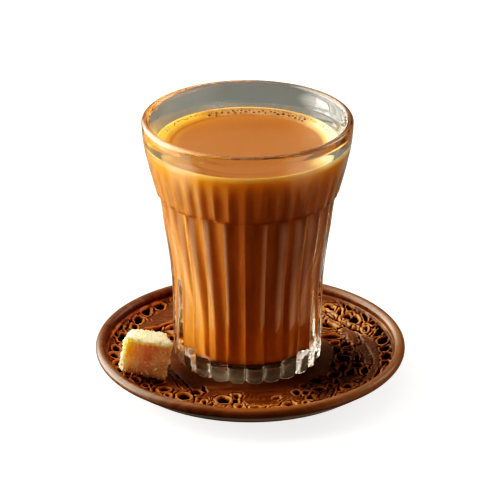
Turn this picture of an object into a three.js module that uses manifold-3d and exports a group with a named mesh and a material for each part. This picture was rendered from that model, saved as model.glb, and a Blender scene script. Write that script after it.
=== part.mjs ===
// Masala chai in a ribbed glass tumbler on a carved wooden saucer, with one lump of raw sugar.
// Units are millimetres, +Z is up, and the front faces -Y.
// The origin is the centre of the flat underside of the saucer.
import * as THREE from 'three';
import { mergeVertices } from 'three/addons/utils/BufferGeometryUtils.js';
import Module from 'manifold-3d';

const wasm = await Module();
wasm.setup();

const DEGREE = Math.PI / 180;
const GAP = 0.3;

// Saucer: a flat base, a level floor, a rising carved band and a rolled rim
const SAUCER_RADIUS = 55.6;
const RIM_TUBE = 1.9;
const RIM_CENTRE_HEIGHT = 10.6;
const RIM_CENTRE_RADIUS = SAUCER_RADIUS - RIM_TUBE;
const BASE_RADIUS = 34;
const FLOOR_HEIGHT = 6.7;
const FLOOR_RADIUS = 28.6;
const SLOPE_RADIUS = 51.4;
const SLOPE_HEIGHT = 8.9;
const UNDERSIDE = [[0, 0], [BASE_RADIUS, 0], [BASE_RADIUS + 1.4, 0.7], [47.5, 3.8]];
const TOP_RADII = [SLOPE_RADIUS, 48.6, 45.6, 43.2, 40.6, 37.6, FLOOR_RADIUS + 4.4, FLOOR_RADIUS, 0];
const SAUCER_SIDES = 72;

// Carving: a raised ridge ring between two rows of blind cut-outs
const RIDGE_RADIUS = 42.6;
const RIDGE_WIDTH = 2.3;
const RIDGE_RISE = 0.7;
const GROUND_SINK = 0.9;
const RIDGE_WANDER = 1.5;
const INNER_ROW = { count: 14, radius: 35.6, length: 3.6, width: 2.2, turn: 60, start: 8 };
const OUTER_ROW = { count: 26, radius: 47.8, length: 2.5, width: 1.6, turn: 25, start: 2 };
const CUTOUT_DEPTH = 2.1;
const CUTOUT_SIDES = 6;

// Glass: a tumbler of 36 faint ribs on its collar and 24 strong ones below it
const GLASS_X = -0.96;
const GLASS_FOOT_HEIGHT = FLOOR_HEIGHT + GAP;
const GLASS_HEIGHT = 91.4;
const FOOT_RADIUS = 26.1;
const BODY_RADIUS = 26.8;
const RIM_RADIUS = 37;
const STEP_HEIGHT = 64.6;
const STEP_DEPTH = 0.6;
const RIBS_BODY = 24;
const RIBS_COLLAR = 36;
const RIB_DEPTH_BODY = 0.85;
const RIB_DEPTH_COLLAR = 0.4;
const RIB_TOP = 80;
const RIB_START = -1.6;
const GLASS_SIDES = 144;
const PUNT_RADIUS = 19;
const PUNT_HEIGHT = 0.8;
const PUNT_SIDES = 36;

// Hollow of the glass
const HOLLOW_FLOOR = 4.4;
const HOLLOW_RADIUS_LOW = 19;
const HOLLOW_RADIUS_RIM = 34.2;
const HOLLOW_SIDES = 72;
const CHAI_SIDES = 60;

// Chai, filled to this height above the foot of the glass
const CHAI_LEVEL = 81.4;
const CHAI_TOP_RADIUS = 31.2;
const FROTH_RISE = 0.35;
const MENISCUS_RISE = 0.9;
const MENISCUS_WIDTH = 1.5;
const FROTH_WIDTH = 4.6;
const BUBBLE_COUNT = 28;
const BUBBLE_SIZES = [0.7, 1.3];
const BUBBLE_ARC = [-35, 68];
const BUBBLE_STEPS = [7, 4];

// Sugar lump, leaning on the saucer's rim
const SUGAR_SIZE = new THREE.Vector3(14.8, 13.4, 12.9);
const SUGAR_CENTRE = new THREE.Vector3(-37.2, -18.4, 16.2);
const SUGAR_TILT = new THREE.Euler(-10.8 * DEGREE, 11.8 * DEGREE, 1.1 * DEGREE, 'ZYX');
const SUGAR_TAPER = 0.15;
const SUGAR_SLANT = 0.08;
const SUGAR_ROUGHNESS = 0.32;
const SUGAR_EDGE = 1.1;
const SUGAR_STEPS = [7, 7, 6];

const MATERIALS = {
  wood: { color: 0x6e3a1a, roughness: 0.5, metalness: 0 },
  glass: { color: 0xdfe6e2, roughness: 0.04, metalness: 0, transparent: true, opacity: 0.35 },
  chai: { color: 0xbb7038, roughness: 0.25, metalness: 0 },
  sugar: { color: 0xe2b877, roughness: 0.8, metalness: 0 },
};

// A repeatable random number from 0 to 1 for each whole number
function chance(index) {
  const value = Math.sin(index * 127.1 + 311.7) * 43758.5453;
  return value - Math.floor(value);
}

// Smooth uneven value near -1 to 1 that depends on place alone
function grain(point) {
  const coarse = Math.sin(point.x * 0.9 + 1.7) * Math.sin(point.y * 0.8 + 0.4) * Math.sin(point.z + 2.2);
  const fine = Math.sin(point.x * 2.3 + point.z) * Math.sin(point.y * 2.1 - point.z * 1.7 + 0.8);
  return coarse + 0.7 * fine;
}

function between(value, low, high) {
  return THREE.MathUtils.smoothstep(value, low, high);
}

// One closed mesh: shared corners merged and triangles of no area dropped
function weld(geometry) {
  const bare = geometry.clone();
  bare.deleteAttribute('normal');
  bare.deleteAttribute('uv');
  const merged = mergeVertices(bare, 1e-4);
  const index = merged.index.array;
  const kept = [];
  for (let i = 0; i < index.length; i += 3) {
    const [a, b, c] = [index[i], index[i + 1], index[i + 2]];
    if (a !== b && b !== c && c !== a) kept.push(a, b, c);
  }
  merged.setIndex(kept);
  return merged;
}

function toSolid(geometry) {
  const welded = weld(geometry);
  return new wasm.Manifold(new wasm.Mesh({
    numProp: 3,
    vertProperties: new Float32Array(welded.attributes.position.array),
    triVerts: new Uint32Array(welded.index.array),
  }));
}

function toGeometry(solid) {
  const mesh = solid.getMesh();
  const geometry = new THREE.BufferGeometry();
  geometry.setAttribute('position', new THREE.BufferAttribute(new Float32Array(mesh.vertProperties), 3));
  geometry.setIndex(new THREE.BufferAttribute(new Uint32Array(mesh.triVerts), 1));
  geometry.computeVertexNormals();
  return geometry;
}

// Turned body about +Z from [radius, height] pairs that run from the axis, outwards and up, to the axis
function turned(profile, sides, startAngle = 0) {
  const points = profile.map(([radius, height]) => new THREE.Vector2(radius, height));
  const lathe = new THREE.LatheGeometry(points, sides, startAngle);
  lathe.rotateX(Math.PI / 2);
  return lathe;
}

// Moves every corner of a geometry by a function of its place
function reshape(geometry, move) {
  const position = geometry.attributes.position;
  const point = new THREE.Vector3();
  for (let i = 0; i < position.count; i += 1) {
    point.fromBufferAttribute(position, i);
    move(point);
    position.setXYZ(i, point.x, point.y, point.z);
  }
  return geometry;
}

// Azimuth in degrees, 0 at the front (-Y) and growing to the right (+X)
function azimuth(point) {
  return Math.atan2(point.x, -point.y) / DEGREE;
}

function place(radius, degrees, height) {
  return new THREE.Vector3(
    radius * Math.sin(degrees * DEGREE),
    -radius * Math.cos(degrees * DEGREE),
    height,
  );
}

// Saucer top before carving
function saucerTop(radius) {
  const rise = Math.max(0, (radius - FLOOR_RADIUS) / (SLOPE_RADIUS - FLOOR_RADIUS));
  return FLOOR_HEIGHT + (SLOPE_HEIGHT - FLOOR_HEIGHT) * rise * rise;
}

// Low relief of the carved band: a ridge that winds between two sunk rows
function carving(radius, degrees) {
  const wander = RIDGE_WANDER * Math.sin(3 * degrees * DEGREE + 0.6);
  const off = (radius - RIDGE_RADIUS - wander) / RIDGE_WIDTH;
  const ridge = RIDGE_RISE * Math.exp(-off * off);
  const ground = -GROUND_SINK * (1 - Math.exp(-off * off));
  const innerFade = between(radius, FLOOR_RADIUS, FLOOR_RADIUS + 4.4);
  const outerFade = 1 - between(radius, SLOPE_RADIUS - 1.4, SLOPE_RADIUS);
  return innerFade * outerFade * (ridge + ground);
}

function cutoutRow(row) {
  return Array.from({ length: row.count }, (unused, i) => {
    const degrees = row.start + (360 / row.count) * i;
    const scale = 0.85 + 0.3 * chance(i + row.count);
    const cutter = new THREE.CylinderGeometry(1, 0.8, 2 * CUTOUT_DEPTH, CUTOUT_SIDES);
    cutter.rotateX(Math.PI / 2);
    cutter.scale(row.length * scale, row.width * scale, 1);
    cutter.rotateZ((degrees + row.turn * (i % 2 ? -1 : 1)) * DEGREE);
    const spot = place(row.radius, degrees, saucerTop(row.radius));
    cutter.translate(spot.x, spot.y, spot.z);
    return cutter;
  });
}

function saucer() {
  const profile = [...UNDERSIDE];
  for (let turn = -80; turn <= 200; turn += 40) {
    const angle = turn * DEGREE;
    profile.push([
      RIM_CENTRE_RADIUS + RIM_TUBE * Math.cos(angle),
      RIM_CENTRE_HEIGHT + RIM_TUBE * Math.sin(angle),
    ]);
  }
  for (const radius of TOP_RADII) profile.push([radius, saucerTop(radius)]);
  const body = reshape(turned(profile, SAUCER_SIDES), (point) => {
    const radius = Math.hypot(point.x, point.y);
    const onTop = Math.abs(point.z - saucerTop(radius)) < 1e-3 && radius <= SLOPE_RADIUS + 1e-3;
    if (onTop) point.z += carving(radius, azimuth(point));
  });
  let solid = toSolid(body);
  for (const cutter of [...cutoutRow(INNER_ROW), ...cutoutRow(OUTER_ROW)]) {
    solid = solid.subtract(toSolid(cutter));
  }
  return toGeometry(solid);
}

// Crest radius of the glass at a height above its foot
const glassOutline = new THREE.SplineCurve([
  new THREE.Vector2(FOOT_RADIUS + 0.4, 5),
  new THREE.Vector2(BODY_RADIUS, 17),
  new THREE.Vector2(BODY_RADIUS + 0.2, 30),
  new THREE.Vector2(28.5, 45),
  new THREE.Vector2(31.1, 60),
  new THREE.Vector2(34.9, 75.4),
  new THREE.Vector2(36.5, 83.5),
  new THREE.Vector2(RIM_RADIUS, 89.4),
]);

// A point on a curve of [radius, height] at the given height
function radiusAt(curve, height) {
  let low = 0;
  let high = 1;
  for (let i = 0; i < 30; i += 1) {
    const middle = (low + high) / 2;
    if (curve.getPoint(middle).y < height) low = middle;
    else high = middle;
  }
  return curve.getPoint((low + high) / 2).x;
}

// Depth that the ribs cut in from the crest: each rib is convex, with a sharp groove on either side
function ribCut(degrees, height) {
  const inCollar = height > STEP_HEIGHT;
  const pitch = 360 / (inCollar ? RIBS_COLLAR : RIBS_BODY);
  const turns = (degrees - RIB_START) / pitch;
  const across = 2 * (turns - Math.floor(turns)) - 1;
  const fade = inCollar ? 1 - between(height, RIB_TOP - 4, RIB_TOP) : 1;
  const depth = inCollar ? RIB_DEPTH_COLLAR * fade : RIB_DEPTH_BODY;
  return depth * across * across;
}

function glassBody() {
  const profile = [[0, 0], [FOOT_RADIUS - 0.9, 0], [FOOT_RADIUS, 0.9]];
  for (const height of [6, 26, 41, 53]) {
    profile.push([radiusAt(glassOutline, height), height]);
  }
  profile.push([radiusAt(glassOutline, STEP_HEIGHT) - STEP_DEPTH, STEP_HEIGHT - 0.1]);
  for (const height of [STEP_HEIGHT + 0.5, RIB_TOP - 6, RIB_TOP, 89.4]) {
    profile.push([radiusAt(glassOutline, height), height]);
  }
  profile.push([RIM_RADIUS - 0.2, GLASS_HEIGHT - 0.7], [RIM_RADIUS - 0.8, GLASS_HEIGHT], [0, GLASS_HEIGHT]);
  const body = turned(profile, GLASS_SIDES, RIB_START * DEGREE);
  return reshape(body, (point) => {
    const radius = Math.hypot(point.x, point.y);
    if (radius < 1 || point.z > RIB_TOP) return;
    const shrink = 1 - ribCut(azimuth(point), point.z) / radius;
    point.x *= shrink;
    point.y *= shrink;
  });
}

// Hollow as [radius, height] pairs above the foot, from the middle of its floor to the rim
const HOLLOW = [
  [0, HOLLOW_FLOOR],
  [HOLLOW_RADIUS_LOW - 1.8, HOLLOW_FLOOR + 0.1],
  [HOLLOW_RADIUS_LOW - 0.5, HOLLOW_FLOOR + 0.7],
  [HOLLOW_RADIUS_LOW, HOLLOW_FLOOR + 2.4],
  [HOLLOW_RADIUS_LOW + 0.8, 24],
  [25.5, 54],
  [29.9, 74],
  [31.4, 82.2],
  [32.9, 86.4],
  [HOLLOW_RADIUS_RIM, 89.4],
];

function hollow() {
  const lip = [[34.6, 90.7], [35.4, GLASS_HEIGHT + 0.1], [0, GLASS_HEIGHT + 0.1]];
  return turned([...HOLLOW, ...lip], HOLLOW_SIDES, RIB_START * DEGREE);
}

// Shallow dent under the foot
function punt() {
  const below = [[0, -1], [PUNT_RADIUS, -1], [PUNT_RADIUS, 0]];
  return turned([...below, [PUNT_RADIUS - 2, PUNT_HEIGHT], [0, PUNT_HEIGHT]], PUNT_SIDES);
}

function glass() {
  const solid = toSolid(glassBody()).subtract(toSolid(hollow())).subtract(toSolid(punt()));
  return toGeometry(solid);
}

// Height of the chai's surface: a froth ring and a meniscus climb towards the wall
function chaiSurface(distanceFromWall) {
  const froth = FROTH_RISE * (1 - between(distanceFromWall, FROTH_WIDTH - 1.5, FROTH_WIDTH));
  return CHAI_LEVEL + froth + MENISCUS_RISE * Math.exp(-distanceFromWall / MENISCUS_WIDTH);
}

function chai() {
  const below = HOLLOW.filter(([radius, height]) => height < CHAI_LEVEL - 2 && radius > 0);
  const side = below.map(([radius, height]) => [radius - GAP, height + GAP]);
  const profile = [[0, HOLLOW_FLOOR + GAP], ...side];
  for (const distance of [0, 1.4, FROTH_WIDTH - 1.5, FROTH_WIDTH]) {
    profile.push([CHAI_TOP_RADIUS - distance, chaiSurface(distance)]);
  }
  profile.push([0, CHAI_LEVEL]);
  let solid = toSolid(turned(profile, CHAI_SIDES, RIB_START * DEGREE));
  for (let i = 0; i < BUBBLE_COUNT; i += 1) {
    const size = THREE.MathUtils.lerp(...BUBBLE_SIZES, chance(i));
    const distance = size + 0.35 + 2.4 * chance(i + 50);
    const step = (BUBBLE_ARC[1] - BUBBLE_ARC[0]) / BUBBLE_COUNT;
    const degrees = 180 - BUBBLE_ARC[0] - step * (i + 0.5);
    const bubble = new THREE.SphereGeometry(size, ...BUBBLE_STEPS).rotateX(Math.PI / 2);
    const spot = place(CHAI_TOP_RADIUS - distance, degrees, chaiSurface(distance) - 0.1 * size);
    bubble.translate(spot.x, spot.y, spot.z);
    solid = solid.add(toSolid(bubble));
  }
  return toGeometry(solid);
}

// A lump with crumbled edges and uneven faces, narrower at its back and higher at its right
function sugarLump() {
  const half = SUGAR_SIZE.clone().multiplyScalar(0.5);
  const lump = new THREE.BoxGeometry(SUGAR_SIZE.x, SUGAR_SIZE.y, SUGAR_SIZE.z, ...SUGAR_STEPS);
  reshape(lump, (point) => {
    const spread = new THREE.Vector3(point.x / half.x, point.y / half.y, point.z / half.z);
    const rims = [spread.x, spread.y, spread.z].filter((value) => Math.abs(value) > 0.999).length;
    const inward = rims > 1 ? SUGAR_EDGE * (rims === 3 ? 0.75 : 0.4) * (1 + 0.4 * grain(point)) : 0;
    const bump = SUGAR_ROUGHNESS * grain(point) - inward;
    const length = Math.max(point.length(), 1e-6);
    point.multiplyScalar(1 + bump / length);
    point.x *= 1 - SUGAR_TAPER * spread.y;
    point.z *= 1 + SUGAR_SLANT * spread.x;
  });
  return toGeometry(toSolid(lump));
}

const group = new THREE.Group();

function addPiece(name, geometry, material) {
  const mesh = new THREE.Mesh(geometry, new THREE.MeshStandardMaterial(MATERIALS[material]));
  mesh.name = name;
  group.add(mesh);
  return mesh;
}

addPiece('saucer', saucer(), 'wood');
addPiece('glass', glass(), 'glass').position.set(GLASS_X, 0, GLASS_FOOT_HEIGHT);
addPiece('chai', chai(), 'chai').position.set(GLASS_X, 0, GLASS_FOOT_HEIGHT);
const lump = addPiece('sugar_lump', sugarLump(), 'sugar');
lump.position.copy(SUGAR_CENTRE);
lump.rotation.copy(SUGAR_TILT);

export default group;
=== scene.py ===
# Masala chai in a ribbed glass tumbler on a carved wooden saucer, with one lump of raw sugar.
# Shapes are worked out in millimetres and scaled by MM when they become meshes.
# An azimuth is in degrees from the front (-Y) and grows towards the right (+X).
import math

import bpy
import numpy as np
from mathutils import Euler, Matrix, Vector, noise


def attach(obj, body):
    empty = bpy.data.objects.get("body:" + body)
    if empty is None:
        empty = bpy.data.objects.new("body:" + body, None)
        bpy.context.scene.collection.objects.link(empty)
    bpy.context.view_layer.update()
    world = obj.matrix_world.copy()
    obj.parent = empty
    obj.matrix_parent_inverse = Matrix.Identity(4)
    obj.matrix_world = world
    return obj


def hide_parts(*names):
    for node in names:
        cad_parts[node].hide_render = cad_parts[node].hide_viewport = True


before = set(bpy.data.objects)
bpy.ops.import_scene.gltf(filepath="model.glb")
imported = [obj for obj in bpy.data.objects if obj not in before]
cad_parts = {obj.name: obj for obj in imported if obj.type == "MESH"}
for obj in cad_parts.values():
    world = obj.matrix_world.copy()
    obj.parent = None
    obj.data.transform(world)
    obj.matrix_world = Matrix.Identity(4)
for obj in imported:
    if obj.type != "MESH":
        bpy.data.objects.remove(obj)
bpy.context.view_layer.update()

MM = 0.001
TAU = 2 * math.pi

# Saucer, as in the part's own sizes
SAUCER_RADIUS = 55.6
RIM_TUBE = 1.9
RIM_HEIGHT = 10.55
BASE_RADIUS = 34.0
FLOOR_HEIGHT = 6.7
FLOOR_RADIUS = 28.6
SLOPE_RADIUS = 51.4
SLOPE_HEIGHT = 8.9
CARVE_DEPTH = 2.3
PIT_DEPTH = 1.4
LEAST_THICKNESS = 0.8
SAUCER_SIDES = 1200

# Carving
WANDER = ((0.16, 1.1), (0.5, 0.45))  # noise scale for each millimetre, and how far it moves a point
WANDER_SEED = 2  # without a seed noise_vector starts from the clock, and differs each run
NOISE_LAYER = 3.3
FAR = 4.0  # distance from a hole at which nothing changes any more
HOLE_BLEND = 0.42  # how softly holes near each other run into one
HOLE_SHIFT = 0.16  # keeps that from widening a hole that stands alone
BAR_ROUNDING = 0.8  # width of the rounded edge beside a hole
HOLE_RING = 1.5  # where the fine groove round a hole lies
PATH_REACH = 1.8  # half widths to which a bar or a groove is worked out
PLATE_TOP = 0.92  # height of the uncarved plates, where 1 is the top of the bars
BAND_STEP = 0.2  # distance between the rings of points in the carved band

# Glass
GLASS_X = -0.96
GLASS_FOOT = 7.0  # height of the glass's foot above the table; heights on the glass are above its foot
GLASS_HEIGHT = 91.4
FOOT_RADIUS = 26.1
RIM_RADIUS = 37.0
STEP_HEIGHT = 64.6
STEP_DEPTH = 0.8
RIBS_BODY = 24
RIBS_COLLAR = 36
RIB_DEPTH_BODY = 0.85
RIB_DEPTH_COLLAR = 0.42
RIB_DEPTH_FOOT = 0.75
RIB_TOP = 80.5
RIB_START = -1.6
GLASS_SIDES = 720
THICK_FOOT = 7.0  # below this height the foot's material is used, and above the next the rim's
THICK_RIM = 88.0
WALL_IOR = 1.23  # less than the real 1.5, so that the clear edge beside the tea stays visible
THICK_IOR = 1.46
LIP_START = 89.4
LIP_RISE = 1.3
LIP_INSET = 0.1
PUNT_RADIUS = 19.0
PUNT_HEIGHT = 0.8

# Hollow and chai
HOLLOW_FLOOR = 4.4
HOLLOW_LOW = 19.0
HOLLOW_RIM = 34.2
CHAI_LEVEL = 81.4
HOLLOW_CORNER = 2.0
INTO_WALL = 0.1
CHAI_RIB_BODY = 0.9  # how far the hollow widens behind the ribs of the body, and of the collar
CHAI_RIB_COLLAR = 0.6
CHAI_STEP = 0.6
FROTH_WIDTH = 5.4
FROTH_RISE = 0.35
MENISCUS_RISE = 0.7
MENISCUS_WIDTH = 1.5
GLOW_DEPTH = 2.6

# Sugar lump
SUGAR_SIZE = (14.8, 13.4, 12.9)
SUGAR_CENTRE = (-37.2, -18.4, 16.2)
SUGAR_TILT = (-10.8, 11.8, 1.1)
SUGAR_TAPER = 0.15
SUGAR_SLANT = 0.08
SUGAR_SQUARENESS = 14.0
SUGAR_STEPS = 48
GRAINS = 800

# Camera, from the fit to the photograph
CAMERA_PLACE = (-0.96, -967.0, 491.1)
CAMERA_PITCH = 24.63
CAMERA_YAW = 0.05
CAMERA_LENS = 216.0
SENSOR_WIDTH = 36.0


def smooth(x, low, high):
    """Smooth step from 0 at low to 1 at high."""
    t = np.clip((np.asarray(x, float) - low) / (high - low), 0, 1)
    return t * t * (3 - 2 * t)


def arc(azimuths, middle, full, end):
    """1 within full degrees of a middle azimuth, falling to 0 at end degrees."""
    return 1 - smooth(np.abs((azimuths - middle + 180) % 360 - 180), full, end)


def place(radius, azimuth, height=0.0):
    a = math.radians(azimuth)
    return np.array([radius * math.sin(a), -radius * math.cos(a), height])


# Meshes

def add_mesh(name, points, faces, material, smooth_faces=True):
    mesh = bpy.data.meshes.new(name)
    mesh.from_pydata((np.asarray(points) * MM).tolist(), [], faces)
    mesh.polygons.foreach_set("use_smooth", [smooth_faces] * len(mesh.polygons))
    mesh.materials.append(material)
    mesh.update()
    piece = bpy.data.objects.new(name, mesh)
    bpy.context.scene.collection.objects.link(piece)
    return piece


def revolve(radii, heights, azimuths):
    """Points and faces of a closed turned body. radii and heights are (rings,) or (rings, sides), from the
    middle of the underside, outwards and up, to the middle of the top; the two middles are left out."""
    rings, sides = len(radii), len(azimuths)
    radii = np.broadcast_to(np.asarray(radii, float).reshape(rings, -1), (rings, sides))
    heights = np.broadcast_to(np.asarray(heights, float).reshape(rings, -1), (rings, sides))
    a = np.radians(azimuths)
    points = np.stack([radii * np.sin(a), -radii * np.cos(a), heights], axis=2).reshape(-1, 3)
    here = np.arange(rings * sides).reshape(rings, sides)
    beside = np.roll(here, -1, axis=1)
    quads = np.stack([here[:-1], beside[:-1], beside[1:], here[1:]], axis=2).reshape(-1, 4)
    low, high = len(points), len(points) + 1
    points = np.vstack([points, [0, 0, heights[0].mean()], [0, 0, heights[-1].mean()]])
    fans = [(low, int(n), int(h)) for h, n in zip(here[0], beside[0])]
    fans += [(int(h), int(n), high) for h, n in zip(here[-1], beside[-1])]
    return points, quads.tolist() + fans


def value_on(piece, name, values):
    """A number on each vertex, which the material reads by name."""
    layer = piece.data.attributes.new(name, "FLOAT", "POINT")
    layer.data.foreach_set("value", np.asarray(values, np.float32))


# Materials, with colours in linear red, green and blue

WOOD_GRAIN = ((0.3, (0.085, 0.028, 0.008)), (0.5, (0.155, 0.055, 0.016)), (0.72, (0.24, 0.095, 0.032)))
WOOD_BLOTCH = (0.075, 0.026, 0.009)
# Wear on raised edges, also laid on as a painted highlight and as painted light
WOOD_WORN_AND_LIT = (0.6, 0.26, 0.095)
# Painted shade in the carving's holes
WOOD_PIT_SHADE = (0.005, 0.0015, 0.0006)
# Painted shadow round the glass's foot and on parts of the carving
WOOD_SHADE = (0.035, 0.011, 0.004)
GLASS_WALL = (0.97, 0.985, 0.975)
GLASS_FOOT_COLOUR = (0.86, 0.88, 0.82)
GLASS_SHADOW = (0.96, 0.97, 0.96)
# Painted shade on the glass: a dark line on the lip at the back, and a darker foot at the left
RIM_SHADE = (0.05, 0.028, 0.016)
FOOT_SHADE = (0.2, 0.15, 0.11)
# The top and the sides are one tea in two tones: the top is painted darker than the sides, as painted shade
# that evens out the stronger light falling on the top
TEA_TOP = ((0.3, (0.33, 0.115, 0.033)), (0.7, (0.38, 0.135, 0.04)))
TEA_SIDE = ((0.3, (0.5, 0.178, 0.047)), (0.7, (0.56, 0.206, 0.057)))
TEA_FROTH = ((0.35, (0.42, 0.195, 0.075)), (0.65, (0.54, 0.28, 0.115)))
# Tints laid over the tea in this order: attribute, low and high end of its span, amount, colour
TEA_TINTS = (
    # Painted glow: the sides are painted a brighter orange towards the top, standing in for light glowing
    # through the tea
    ("glow", 0.0, 1.0, 1.0, (1.0, 0.37, 0.03)),
    # Painted light: the top is painted a deep yellow near the glass at the left, where the light comes in
    ("left_glow", 0.0, 0.6, 0.9, (0.56, 0.2, 0.012)),
    ("left_glow", 0.7, 1.0, 0.9, (0.92, 0.54, 0.08)),
    ("deep", 0.0, 1.0, 0.8, (0.42, 0.12, 0.018)),
    # Painted shade: the sides are painted dark at the bottom of the tea
    ("dark", 0.0, 1.0, 0.9, (0.13, 0.04, 0.012)),
    ("froth", 0.0, 1.0, 0.9, TEA_FROTH),
    # Painted highlight: a pale line along the tea's edge and a cream band on the top near the glass at the
    # right
    ("pale", 0.0, 0.5, 0.85, (1.0, 0.57, 0.16)),
    ("pale", 0.5, 1.0, 0.9, (1.0, 0.84, 0.46)),
)
# Bubbles: the sides are painted lighter, as a painted highlight, and the crown dark, as painted shade
# standing in for the tea seen through a clear bubble
BUBBLE_SKIN = ((0.35, (0.56, 0.3, 0.12)), (0.65, (0.72, 0.45, 0.21)))
BUBBLE_CROWN = (0.13, 0.045, 0.01)
# The sugar's colour in the light, then the same sugar painted browner as painted shade on the front and the
# right
SUGAR_BRIGHT = ((0.35, (0.98, 0.86, 0.5)), (0.65, (1.0, 0.94, 0.66)))
SUGAR_BROWN = ((0.35, (0.8, 0.47, 0.26)), (0.65, (0.98, 0.68, 0.42)))
# Painted glow at the upper left of the sugar's front
SUGAR_GLOW = (1.0, 0.6, 0.09)
# Painted glints on the sugar
SUGAR_GLINT = (1.0, 0.93, 0.78)
FLOOR_SHADES = ((0.3, (0.52, 0.52, 0.52)), (0.7, (0.56, 0.56, 0.56)))


class Nodes:
    """Short way to build a node material."""

    def __init__(self, name):
        self.material = bpy.data.materials.new(name)
        self.material.use_nodes = True
        self.tree = self.material.node_tree
        self.shader = self.tree.nodes["Principled BSDF"]
        self.out = self.tree.nodes["Material Output"]

    def add(self, kind, **settings):
        node = self.tree.nodes.new(kind)
        for key, value in settings.items():
            setattr(node, key, value)
        return node

    def link(self, source, target):
        self.tree.links.new(source, target)

    def set(self, **values):
        for key, value in values.items():
            self.shader.inputs[key.replace("_", " ")].default_value = value

    def coordinates(self, scale=(1, 1, 1)):
        place_node = self.add("ShaderNodeTexCoord")
        mapping = self.add("ShaderNodeMapping")
        mapping.inputs["Scale"].default_value = scale
        self.link(place_node.outputs["Object"], mapping.inputs["Vector"])
        return mapping.outputs["Vector"]

    def noise(self, scale, detail=4.0, roughness=0.5, stretch=(1, 1, 1)):
        node = self.add("ShaderNodeTexNoise")
        node.inputs["Scale"].default_value = scale
        node.inputs["Detail"].default_value = detail
        node.inputs["Roughness"].default_value = roughness
        self.link(self.coordinates(stretch), node.inputs["Vector"])
        return node.outputs["Fac"]

    def attribute(self, name):
        return self.add("ShaderNodeAttribute", attribute_name=name).outputs["Fac"]

    def ramp(self, source, *stops):
        node = self.add("ShaderNodeValToRGB")
        band = node.color_ramp
        while len(band.elements) < len(stops):
            band.elements.new(0.5)
        for element, (position, colour) in zip(band.elements, stops):
            element.position = position
            element.color = (*colour, 1) if len(colour) == 3 else colour
        self.link(source, node.inputs["Fac"])
        return node.outputs["Color"]

    def span(self, source, low, high, to_low, to_high):
        node = self.add("ShaderNodeMapRange")
        for key, value in zip(("From Min", "From Max", "To Min", "To Max"), (low, high, to_low, to_high)):
            node.inputs[key].default_value = value
        self.link(source, node.inputs["Value"])
        return node.outputs["Result"]

    def mix(self, factor, first, second):
        """Colour mix; inputs 6 and 7 and output 2 are the node's colour sockets."""
        node = self.add("ShaderNodeMix", data_type="RGBA")
        for socket, value in zip((node.inputs["Factor"], *node.inputs[6:8]), (factor, first, second)):
            if isinstance(value, bpy.types.NodeSocket):
                self.link(value, socket)
            elif isinstance(value, tuple):
                socket.default_value = (*value, 1)
            else:
                socket.default_value = value
        return node.outputs[2]

    def math(self, operation, first, second):
        node = self.add("ShaderNodeMath", operation=operation)
        for socket, value in zip(node.inputs, (first, second)):
            if isinstance(value, bpy.types.NodeSocket):
                self.link(value, socket)
            else:
                socket.default_value = value
        return node.outputs[0]

    def bump(self, height, strength, distance):
        node = self.add("ShaderNodeBump")
        node.inputs["Strength"].default_value = strength
        node.inputs["Distance"].default_value = distance
        self.link(height, node.inputs["Height"])
        self.link(node.outputs["Normal"], self.shader.inputs["Normal"])


def wood_material(name, coat, dullness):
    """Oiled wood with grain and blotches. It is lighter with wear on raised edges, which also carries a
    painted highlight, and with painted light on the band's front edge and the right front rim. It is painted
    almost black where the attribute relief is low, as painted shade in the holes, and darker, as painted
    shadow, and duller where the attribute under is high."""
    n = Nodes(name)
    grain = n.noise(90, 6, 0.6, (1, 7, 3))
    blotch = n.noise(38, 3)
    under = n.attribute("under")
    wood = n.mix(n.span(blotch, 0.35, 0.7, 0.0, 0.5), n.ramp(grain, *WOOD_GRAIN), WOOD_BLOTCH)
    # Lighter with wear on raised edges, with a painted highlight there and painted light at the front edge
    # and the rim
    wood = n.mix(n.span(n.attribute("worn_and_lit"), 0.03, 0.24, 0.0, 0.9), wood, WOOD_WORN_AND_LIT)
    # Painted shade: near black in the holes
    wood = n.mix(n.span(n.attribute("relief"), 0.2, 0.9, 1.0, 0.0), wood, WOOD_PIT_SHADE)
    # Painted shadow where the attribute under is high
    wood = n.mix(n.span(under, 0.0, 1.0, 0.0, 0.75), wood, WOOD_SHADE)
    n.link(wood, n.shader.inputs["Base Color"])
    rough = n.span(grain, 0.3, 0.7, dullness, dullness + 0.16)
    rough = n.math("ADD", rough, n.span(under, 0.0, 1.0, 0.0, 0.35))
    n.link(rough, n.shader.inputs["Roughness"])
    n.set(Coat_Weight=coat, Coat_Roughness=0.15, Coat_IOR=1.5, Specular_IOR_Level=0.18 + 0.4 * coat)
    n.bump(grain, 0.25, 0.0003)
    return n.material


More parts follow.
